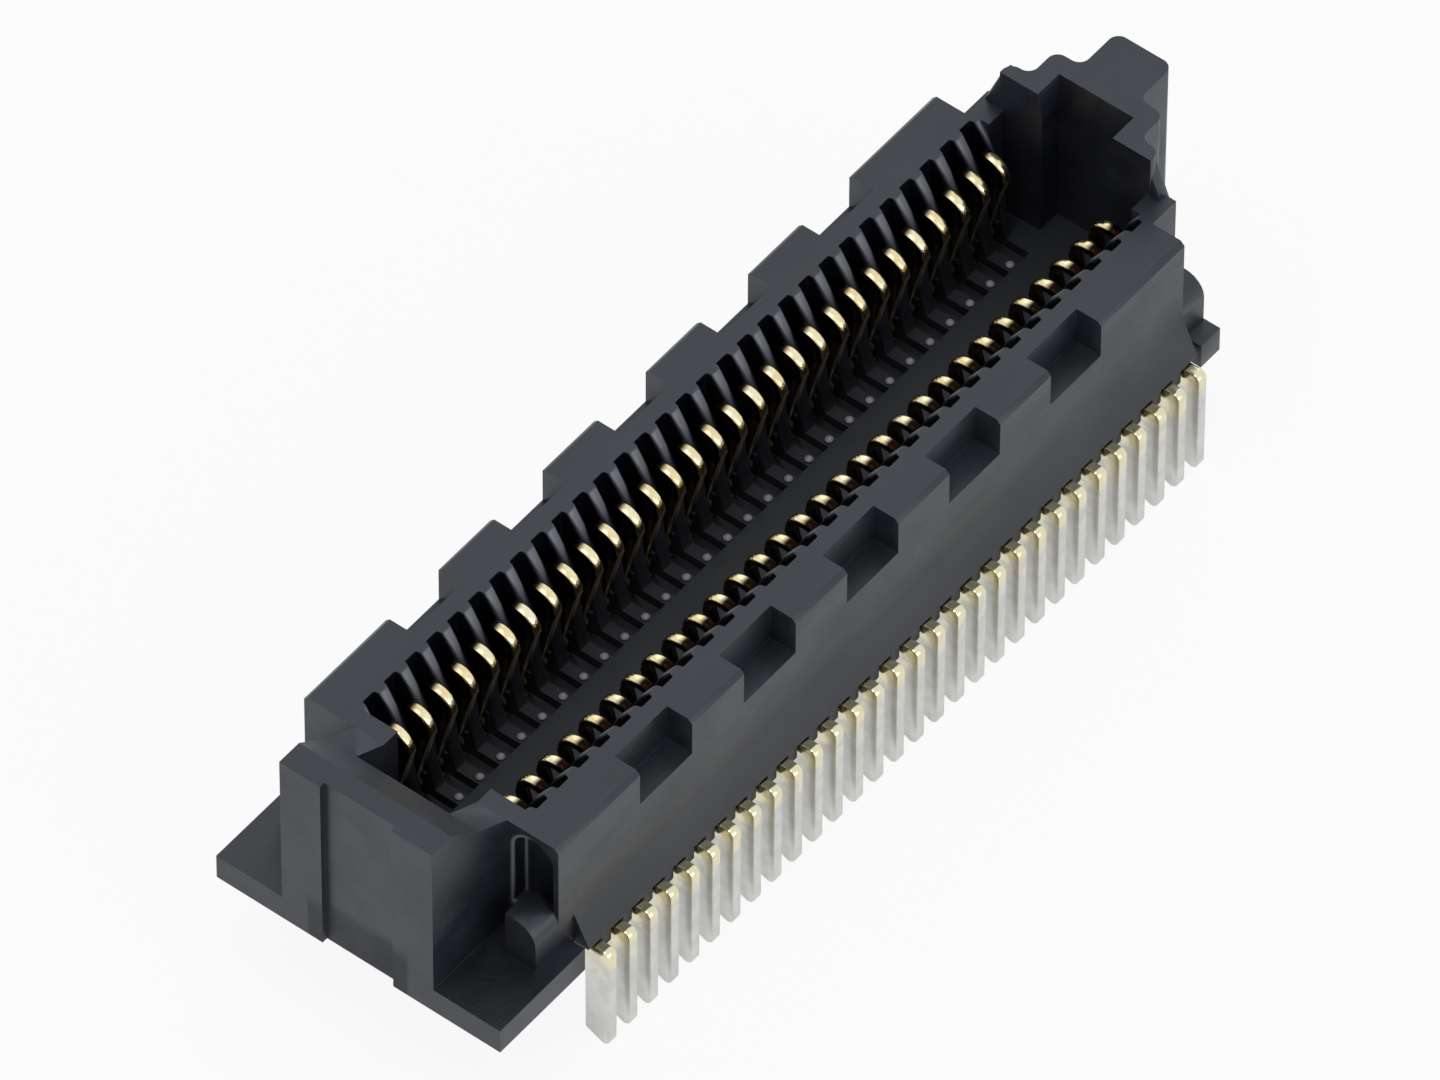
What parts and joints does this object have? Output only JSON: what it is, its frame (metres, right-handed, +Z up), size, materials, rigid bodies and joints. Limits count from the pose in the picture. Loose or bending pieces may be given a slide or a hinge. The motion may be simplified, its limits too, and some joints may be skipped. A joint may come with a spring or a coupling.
{
  "type": "board to board connector",
  "caption": "Fine-pitch board to board connector with two rows of spring contacts in a keyed black housing and straight tails for the circuit board.",
  "frame": {"origin": "under the middle of the contact rows, on the plane of the tail tips", "axes": "+Z up out of the mating cavity, +X along the rows towards the keyed nose, +Y towards the rear row"},
  "size_m": [0.0308, 0.0096, 0.0088],
  "materials": {
    "housing_plastic": "moulded, dark blue-grey, slightly satin",
    "contact_metal": "gold plated at the crest, tin plated on the tail"
  },
  "bodies": {
    "root": {"housing": "housing_plastic", "front_contact_pair_01": "contact_metal", "front_contact_pair_02": "contact_metal", "front_contact_pair_03": "contact_metal", "front_contact_pair_04": "contact_metal", "front_contact_pair_05": "contact_metal", "front_contact_pair_06": "contact_metal", "front_contact_pair_07": "contact_metal", "front_contact_pair_08": "contact_metal", "front_contact_pair_09": "contact_metal", "front_contact_pair_10": "contact_metal", "front_contact_pair_11": "contact_metal", "front_contact_pair_12": "contact_metal", "front_contact_pair_13": "contact_metal", "front_contact_pair_14": "contact_metal", "front_contact_pair_15": "contact_metal", "rear_contact_pair_01": "contact_metal", "rear_contact_pair_02": "contact_metal", "rear_contact_pair_03": "contact_metal", "rear_contact_pair_04": "contact_metal", "rear_contact_pair_05": "contact_metal", "rear_contact_pair_06": "contact_metal", "rear_contact_pair_07": "contact_metal", "rear_contact_pair_08": "contact_metal", "rear_contact_pair_09": "contact_metal", "rear_contact_pair_10": "contact_metal", "rear_contact_pair_11": "contact_metal", "rear_contact_pair_12": "contact_metal", "rear_contact_pair_13": "contact_metal", "rear_contact_pair_14": "contact_metal", "rear_contact_pair_15": "contact_metal"}
  },
  "joints": []
}
